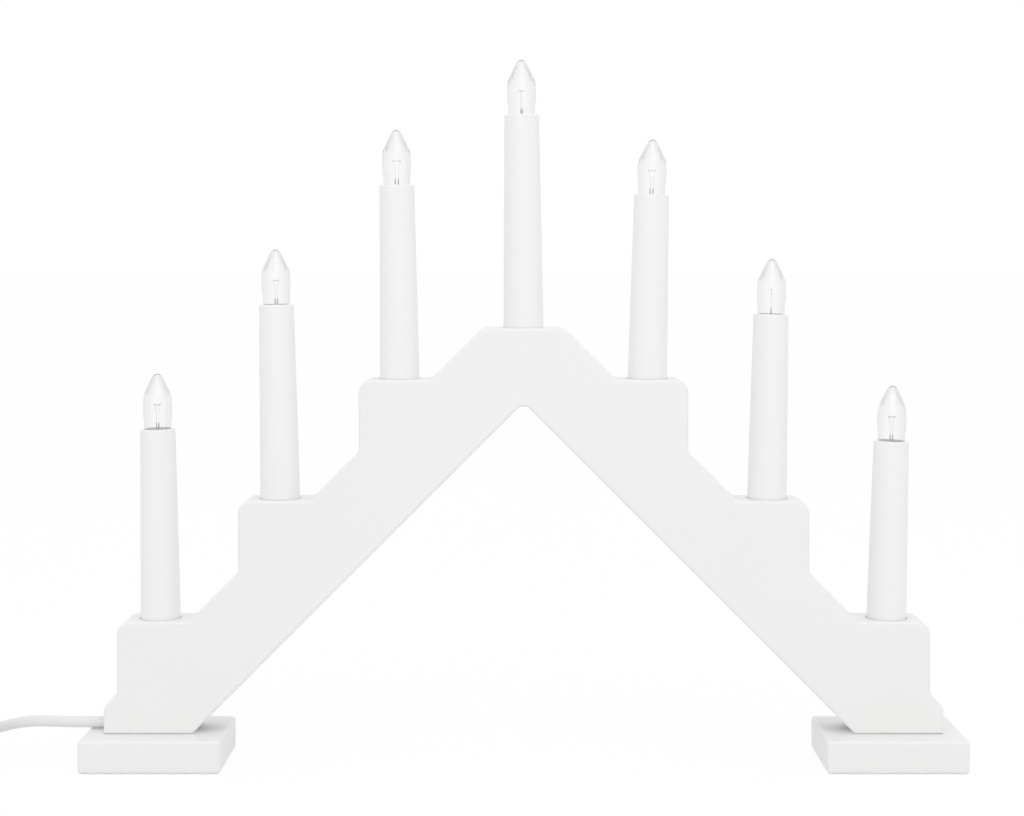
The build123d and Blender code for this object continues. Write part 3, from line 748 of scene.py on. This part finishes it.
# Bulb glass: outer and inner profile, radius and height from the sleeve's rim, in mm
glass = {
    "outer": (
        (0, -5.4), (2.0, -5.3), (3.5, -5.0), (4.0, -4.5), (4.1, -3.9), (5.2, -2.2), (6.0, -0.6), (6.1, 0),
        (6.2, 3.2), (6.5, 6.2), (6.65, 8.7), (6.6, 11.5), (6.45, 13.6), (6.2, 15.4), (5.6, 17.0), (4.9, 18.5),
        (4.2, 20.0), (3.45, 21.5), (2.7, 22.9), (1.9, 24.1), (1.2, 24.9), (0.6, 25.22), (0, 25.3)),
    "inner": (
        (0, 24.6), (0.4, 24.54), (0.85, 24.2), (1.45, 23.4), (2.15, 22.3), (2.9, 20.9), (3.65, 19.4),
        (4.35, 17.9), (5.05, 16.4), (5.6, 15.1), (5.95, 13.5), (6.1, 11.5), (6.15, 8.7), (6.0, 6.2),
        (5.7, 3.2), (5.6, 0), (5.4, -0.9), (4.6, -2.5), (3.5, -4.0), (2.4, -4.5), (0, -4.7)),
}
glassMesh = latheMesh("bulbGlass", glass["outer"], 64, clearGlass, hollow=glass["inner"])

# The helical thread of the screw caps, which the holders' shells repeat
thread = {"pitch": 1.814, "depth": 0.36, "fade": 0.6, "rowsPerTurn": 10, "sides": 40}


def threadMesh(name, bottom, top, radius, wall, material):
    # A tube whose wall waves with the thread
    build = bmesh.new()
    sides = thread["sides"]
    rows = int((top - bottom) / thread["pitch"] * thread["rowsPerTurn"])
    outerRows, innerRows = [], []
    for row in range(rows + 1):
        height = bottom + (top - bottom) * row / rows
        fade = min(1, (height - bottom) / thread["fade"], (top - height) / thread["fade"])
        outerRing, innerRing = [], []
        for k in range(sides):
            angle = 2 * math.pi * k / sides
            wave = (math.cos(2 * math.pi * height / thread["pitch"] - angle) - 1) / 2 * thread["depth"] * fade
            for ring, shift in ((outerRing, 0), (innerRing, -wall)):
                reach = (radius + wave + shift) * mm
                ring.append(build.verts.new((reach * math.cos(angle), reach * math.sin(angle), height * mm)))
        outerRows.append(outerRing)
        innerRows.append(innerRing)
    bridgeRings(build, outerRows + innerRows[::-1] + outerRows[:1])
    bmesh.ops.recalc_face_normals(build, faces=build.faces)
    return finishMesh(name, build, material, 50)


# Cap, cement, collar, black insulator and solder tip: radius and height from the sleeve's rim, in mm
cap = {
    "foot": -12.9, "top": -4.7, "radius": 4.76, "wall": 0.35,
    "cement": ((0, -5.5), (3.85, -5.5), (4.0, -5.7), (4.0, -11.2), (0, -11.2)),
    "collar": ((4.1, -4.75), (5.1, -4.7), (5.3, -4.5), (5.3, -4.1), (5.1, -3.9), (4.1, -3.9)),
    "base": ((0, -12.6), (3.95, -12.6), (3.95, -12.93), (4.35, -12.96), (4.3, -13.2), (3.9, -13.5),
             (2.9, -14.3), (2.3, -14.7), (0, -14.7)),
    "solder": ((0, -14.6), (1.9, -14.6), (1.7, -15.0), (1.1, -15.4), (0.4, -15.58), (0, -15.6)),
}
capMesh = threadMesh("bulbCap", cap["foot"], cap["top"], cap["radius"], cap["wall"], brass)
cementMesh = latheMesh("capCement", cap["cement"], 32, holderPlastic)
collarMesh = latheMesh("capCollar", cap["collar"], 40, brass, closed=True)
baseMesh = latheMesh("bulbBase", cap["base"], 40, blackGlass)
solderMesh = latheMesh("solderTip", cap["solder"], 32, zincSteel)

# Filament on its mount: two leads, each with a knot, their spread tops and a fine coil between them
mount = {
    "knot": 1.9, "knotRadius": 0.34, "knotReach": 0.7, "lead": 0.08, "spread": 1.9, "height": 11.2,
    "hook": 0.35, "hookRise": 0.25, "coilRadius": 0.2, "coilTurns": 14, "coilSteps": 8, "coilWire": 0.05,
    "sag": 0.35, "leadFoot": -12.4, "leadPoints": ((0.7, 6), (0.95, 9.2)),
    "knotPoints": ((0, -1.9), (0.6, -1.7), (0.95, -1.0), (1, -0.2), (0.8, 0.6), (0.45, 1.1), (0, 1.3)),
}
leadLine = [(mount["knotReach"], mount["leadFoot"]), (mount["knotReach"], mount["knot"]),
            *mount["leadPoints"], (mount["spread"], mount["height"]),
            (mount["spread"] + mount["hook"], mount["height"] + mount["hookRise"])]
leadPaths = [[(side * reach, 0, height) for reach, height in leadLine] for side in (-1, 1)]
coilPath = []
for k in range(mount["coilTurns"] * mount["coilSteps"] + 1):
    share = k / (mount["coilTurns"] * mount["coilSteps"])
    angle = 2 * math.pi * k / mount["coilSteps"]
    sag = -mount["sag"] * math.sin(math.pi * share)
    coilPath.append((mount["spread"] * (2 * share - 1), mount["coilRadius"] * math.cos(angle),
                     mount["height"] + sag + mount["coilRadius"] * math.sin(angle)))
leadMesh = tubeMesh("filamentLeads", leadPaths, mount["lead"], 8, leadWire)
coilMesh = tubeMesh("filamentCoil", [coilPath], mount["coilWire"], 4, leadWire)
knotProfile = [(mount["knotRadius"] * share, mount["knot"] + lift) for share, lift in mount["knotPoints"]]
knotMesh = latheMesh("leadKnot", knotProfile, 20, beadGlass)


def tagOf(name):
    # left_outer becomes LeftOuter
    return "".join(word.capitalize() for word in name.split("_"))


# Turn of each bulb about its candle, in degrees, as the filaments show
bulbTurns = {"left_outer": 55, "left_middle": 48, "left_inner": 12, "centre": 62, "right_inner": 15,
             "right_middle": 80, "right_outer": 25}
for name, matrix in candleFrames.items():
    tag = tagOf(name)
    tube = newObject(f"candleSleeve{tag}", sleeveMesh, matrix)
    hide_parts(f"candle_sleeve_{name}")
    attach(tube, "arch")
    turned = matrix @ Matrix.Rotation(math.radians(bulbTurns[name]), 4, "Z")
    for stem, mesh, node, slotName, place in (
            ("bulbGlass", glassMesh, "bulb_glass", "bulb_glass", turned),
            ("bulbCap", capMesh, "bulb_cap", "cap_brass", matrix),
            ("capCollar", collarMesh, None, "cap_brass", matrix),
            ("capCement", cementMesh, None, "holder_plastic", matrix),
            ("filamentLeads", leadMesh, "bulb_filament", "filament_wire", turned),
            ("filamentCoil", coilMesh, None, "filament_wire", turned),
            ("leadKnotA", knotMesh, None, "filament_wire", turned @ shiftBy(-mount["knotReach"], 0, 0)),
            ("leadKnotB", knotMesh, None, "filament_wire", turned @ shiftBy(mount["knotReach"], 0, 0))):
        piece = newObject(f"{stem}{tag}", mesh, place)
        if node:
            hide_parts(f"{node}_{name}")
        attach(piece, f"bulb_{name}")
    for stem, mesh, node in (("bulbBase", baseMesh, "bulb_base"), ("solderTip", solderMesh, None)):
        piece = newObject(f"{stem}{tag}", mesh, matrix)
        if node:
            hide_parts(f"{node}_{name}")
        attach(piece, f"base_{name}")
report("candles ready")

# Lamp holders under the sleeves' lips, each with a threaded shell and a sprung contact strip
lampHolder = {
    "foot": -19.2, "floorTop": -16.8, "top": -1.2, "collarFoot": -6.2, "radius": 6.95, "bodyRadius": 6.5,
    "footEdge": 0.4, "collarSlope": 0.45, "topEdge": 0.2, "recessRadius": 6.15, "recessFoot": -5.3,
    "shellFoot": -14.5, "shellRadius": 5.25, "shellWall": 0.37, "shellGap": 0.05, "ledgeRadius": 4.98,
    "holeRadius": 0.8, "holeReach": 2.4, "holeFoot": -20.2, "holeTop": -16.3, "wireSide": -1.6,
}
shellSeat = lampHolder["shellRadius"] + lampHolder["shellGap"]
holderProfile = [
    (0, lampHolder["foot"]), (lampHolder["bodyRadius"] - lampHolder["footEdge"], lampHolder["foot"]),
    (lampHolder["bodyRadius"], lampHolder["foot"] + lampHolder["footEdge"]),
    (lampHolder["bodyRadius"], lampHolder["collarFoot"] - lampHolder["collarSlope"]),
    (lampHolder["radius"], lampHolder["collarFoot"]),
    (lampHolder["radius"], lampHolder["top"] - lampHolder["topEdge"]),
    (lampHolder["radius"] - lampHolder["topEdge"], lampHolder["top"]),
    (lampHolder["recessRadius"], lampHolder["top"]), (lampHolder["recessRadius"], lampHolder["recessFoot"]),
    (shellSeat, lampHolder["recessFoot"]), (shellSeat, lampHolder["shellFoot"]),
    (lampHolder["ledgeRadius"], lampHolder["shellFoot"]), (lampHolder["ledgeRadius"], lampHolder["floorTop"]),
    (0, lampHolder["floorTop"])]
holderItem = newObject("lampHolder", latheMesh("lampHolder", holderProfile, 48, holderPlastic))
cutAndSettle(holderItem, [
    rodCutter("wireBore", lampHolder["holeRadius"], lampHolder["holeFoot"], lampHolder["holeTop"], 20,
              shiftBy(side * lampHolder["holeReach"], lampHolder["wireSide"], 0), holderPlastic)
    for side in (-1, 1)])
holderMesh = holderItem.data
bpy.data.objects.remove(holderItem)
shellMesh = threadMesh("holderShell", lampHolder["shellFoot"], lampHolder["recessFoot"],
                       lampHolder["shellRadius"], lampHolder["shellWall"], brass)
strip = {"width": 2.4, "length": 8, "thickness": 0.35, "flat": 3.4, "crest": 0.8, "steps": 16}
stripTop, stripFoot = [], []
for k in range(strip["steps"] + 1):
    along = strip["length"] * (k / strip["steps"] - 0.5)
    share = min(1, abs(along) / strip["flat"])
    lifted = lampHolder["floorTop"] + strip["crest"] * (1 + math.cos(math.pi * share)) / 2
    stripFoot.append((along, lifted))
    stripTop.append((along, lifted + strip["thickness"]))
stripMesh = slabMesh("contactStrip", stripFoot + stripTop[::-1], -strip["width"] / 2, strip["width"] / 2,
                     0, 1, platedBrass, sidePlane)
for index, (name, matrix) in enumerate(candleFrames.items()):
    for stem, mesh, node, slotName in (
            ("lampHolder", holderMesh, f"lamp_holder_{name}", "holder_plastic"),
            ("holderShell", shellMesh, "" if index else "holder_shells", "shell_brass"),
            ("contactStrip", stripMesh, "" if index else "holder_contacts", "shell_brass")):
        piece = newObject(f"{stem}{tagOf(name)}", mesh, matrix)
        if node:
            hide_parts(node)
        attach(piece, "arch")
report("lamp holders ready")

# Lamp wires: links between neighbours, the feed from the cord and the return to it
wiring = {"radius": 0.7, "jog": 6.5, "ease": 3, "level": board["footLevel"] + board["channelDepth"] / 2,
          "cordLevel": 17.9, "clampFace": -188, "clampInside": -176}
# Distance from the middle by step, and each candle's side and step
candleReach = {0: 0, 1: 57, 2: 112, 3: 167}
candleOrder = [("left_outer", -1, 3), ("left_middle", -1, 2), ("left_inner", -1, 1), ("centre", 1, 0),
               ("right_inner", 1, 1), ("right_middle", 1, 2), ("right_outer", 1, 3)]
channelPeak = apex + rise / 2


def wirePoint(name, reach, depth):
    # A point in mm, this far aside of a candle's axis and this far below its rim
    return candleFrames[name] @ (Vector((reach, lampHolder["wireSide"], -depth)) * mm) / mm


def wireDrop(name, reach, height):
    # The same at a given height over the table
    rim = candleFrames[name].translation.z / mm
    return wirePoint(name, reach, (rim - height) / candleFrames[name].col[2].z)


wireRuns = []
nearSide = lampHolder["wireSide"]
farSide = -nearSide
holeReach = lampHolder["holeReach"]
holderDepth = -lampHolder["foot"]
for left, right in zip(candleOrder, candleOrder[1:]):
    side = -1 if left[1] < 0 else 1
    outer, inner = (left, right) if side < 0 else (right, left)
    jogZ = max(channelPeak - (candleReach[outer[2]] - wiring["jog"]), wiring["level"])
    endX = candleReach[inner[2]] + holeReach
    wireRuns.append([
        wirePoint(outer[0], -side * holeReach, holderDepth),
        wireDrop(outer[0], -side * holeReach, jogZ),
        (side * (channelPeak - jogZ), nearSide, jogZ),
        wireDrop(inner[0], side * holeReach, channelPeak - endX),
        wirePoint(inner[0], side * holeReach, holderDepth)])
wireRuns.append([(wiring["clampFace"], nearSide, wiring["cordLevel"]),
                 wireDrop("left_outer", -holeReach, wiring["cordLevel"]),
                 wirePoint("left_outer", -holeReach, holderDepth)])
lastTurn = wireDrop("right_outer", holeReach, wiring["level"])
turnX = channelPeak - wiring["level"]
wireRuns.append([wirePoint("right_outer", holeReach, holderDepth), lastTurn,
                 (lastTurn.x, farSide, wiring["level"]), (turnX, farSide, wiring["level"]),
                 (0, farSide, channelPeak), (-turnX, farSide, wiring["level"]),
                 (wiring["clampInside"], farSide, wiring["cordLevel"]),
                 (wiring["clampFace"], farSide, wiring["cordLevel"])])
wireMesh = tubeMesh("lampWires", [roundedPath(run, wiring["ease"]) for run in wireRuns], wiring["radius"], 12,
                    cordPlastic)

# Staples over the wires, halfway between the candles of each arm
staple = {"width": 6.6, "wire": 0.8, "root": 1.1, "leg": 8, "ease": 1.1}
legY = (staple["width"] - staple["wire"]) / 2
crownZ = -staple["root"] - staple["wire"] / 2
stapleLine = [(0, -legY, staple["leg"]), (0, -legY, crownZ), (0, legY, crownZ), (0, legY, staple["leg"])]
stapleRuns = []
for side in (-1, 1):
    for near, far in ((0, 1), (1, 2), (2, 3)):
        reach = (candleReach[near] + candleReach[far]) / 2
        place = Matrix.Translation((side * reach, 0, channelPeak - reach))
        place = place @ Matrix.Rotation(math.radians(side * 45), 4, "Y")
        stapleRuns.append([place @ point for point in roundedPath(stapleLine, staple["ease"])])
stapleMesh = tubeMesh("wireStaples", stapleRuns, staple["wire"] / 2, 12, zincSteel)

# Clamp in the channel's mouth, round the two wires
clamp = {"length": 12, "width": 6.6, "height": 7.6, "corner": 1.1, "edge": 0.5, "bore": 0.78, "over": 2}
clampCorners = [(u * clamp["width"] / 2, board["footLevel"] + v * clamp["height"])
                for u, v in ((-1, 0), (1, 0), (1, 1), (-1, 1))]
clampMesh = slabMesh("cordClamp", roundedOutline(clampCorners, [clamp["corner"]] * 4), wiring["clampFace"],
                     wiring["clampInside"], clamp["edge"], 3, holderPlastic, sidePlane)
cordClamp = newObject("cordClamp", clampMesh)
alongX = Matrix.Rotation(math.pi / 2, 4, "Y")
cutAndSettle(cordClamp, [
    rodCutter("clampBore", clamp["bore"], -clamp["over"], clamp["length"] + clamp["over"], 20,
              shiftBy(wiring["clampFace"], place, wiring["cordLevel"]) @ alongX, holderPlastic)
    for place in (nearSide, farSide)])

# Screws through the feet, with cross recesses
screw = {"face": 0.6, "head": 3.6, "shank": 1.75, "cone": 2.55, "length": 25, "edge": 0.15, "point": 2,
         "slot": 0.85, "slotLength": 3.9, "slotDepth": 1.4, "slotTaper": 0.45, "firstTurn": 17,
         "nextTurn": 31}
screwProfile = [(0, screw["face"]), (screw["head"] - screw["edge"], screw["face"]),
                (screw["head"], screw["face"] + screw["edge"]),
                (screw["shank"] + screw["edge"], screw["cone"]),
                (screw["shank"], screw["cone"] + screw["edge"]),
                (screw["shank"], screw["length"] - screw["point"]), (0, screw["length"])]
screwItem = newObject("footScrew", latheMesh("footScrew", screwProfile, 32, zincSteel))
slotSize = (screw["slotLength"], screw["slot"], screw["slotDepth"] * 2)
cutAndSettle(screwItem, [
    boxCutter("slot", slotSize, shiftBy(0, 0, screw["face"]) @ Matrix.Rotation(math.radians(turn), 4, "Z"),
              screw["slotTaper"])
    for turn in (0, 90)])
screwMesh = screwItem.data
bpy.data.objects.remove(screwItem)
for index, spot in enumerate(screwSpots):
    turn = math.radians(screw["firstTurn"] + screw["nextTurn"] * index)
    footScrew = newObject(f"footScrew{index}", screwMesh, shiftBy(*spot, 0) @ Matrix.Rotation(turn, 4, "Z"))
    if index == 0:
        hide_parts("foot_screws")
    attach(footScrew, "arch")
for piece, node, slotName in ((newObject("lampWires", wireMesh), "lamp_wires", "wire_white"),
                              (newObject("wireStaples", stapleMesh), "wire_staples", "screw_steel"),
                              (cordClamp, "cord_clamp", "clamp_plastic")):
    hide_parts(node)
    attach(piece, "arch")
report("wiring and screws ready")

# Floor: white to the camera, and it keeps the shadow of the feet
floorLook = {"color": (0.84, 0.84, 0.84, 1), "white": 0.9, "roughness": 0.9, "half": 30}
seenRays = ("Is Camera Ray", "Is Transmission Ray", "Is Glossy Ray")
floorMaterial, floorShader = newMaterial("studioFloor")
floorTree = floorMaterial.node_tree
floorShader.inputs["Roughness"].default_value = floorLook["roughness"]
glow = floorTree.nodes.new("ShaderNodeEmission")
glow.inputs["Color"].default_value = (1, 1, 1, 1)
glow.inputs["Strength"].default_value = 1
seen = anyRay(floorTree, *seenRays)
seenColor = tintOver(floorTree, floorLook["color"], seen, (1, 1, 1, 1))
wire(floorTree, seenColor, floorShader.inputs["Base Color"])
mixShaders(floorTree, multiply(floorTree, seen, floorLook["white"]), floorShader, glow, "Material Output")
floorBuild = bmesh.new()
bmesh.ops.create_grid(floorBuild, x_segments=1, y_segments=1, size=floorLook["half"])
floor = newObject("floor", finishMesh("floor", floorBuild, floorMaterial, smooth=False))

# Soft studio light
worldLight = 0.92
world = bpy.data.worlds.new("studio")
scene.world = world
world.use_nodes = True
worldTree = world.node_tree
lightBack = worldTree.nodes["Background"]
whiteBack = worldTree.nodes.new("ShaderNodeBackground")
for back, strength in ((lightBack, worldLight), (whiteBack, 1)):
    back.inputs["Color"].default_value = (1, 1, 1, 1)
    back.inputs["Strength"].default_value = strength
mixShaders(worldTree, anyRay(worldTree, *seenRays), lightBack, whiteBack, "World Output")

lamps = (
    {"name": "softTop", "place": (0.15, -0.5, 1.2), "aim": (0, 0, 0.15), "size": 0.9, "power": 1.4},
    {"name": "softFront", "place": (0.05, -1.5, 0.9), "aim": (0, 0, 0.2), "size": 1.5, "power": 3.0},
)
for lamp in lamps:
    lampData = bpy.data.lights.new(lamp["name"], "AREA")
    lampData.shape = "SQUARE"
    lampData.size = lamp["size"]
    lampData.energy = lamp["power"]
    lampObject = newObject(lamp["name"], lampData)
    lampObject.location = lamp["place"]
    aim = Vector(lamp["aim"]) - Vector(lamp["place"])
    lampObject.rotation_euler = aim.to_track_quat("-Z", "Y").to_euler()
report("floor and light ready")
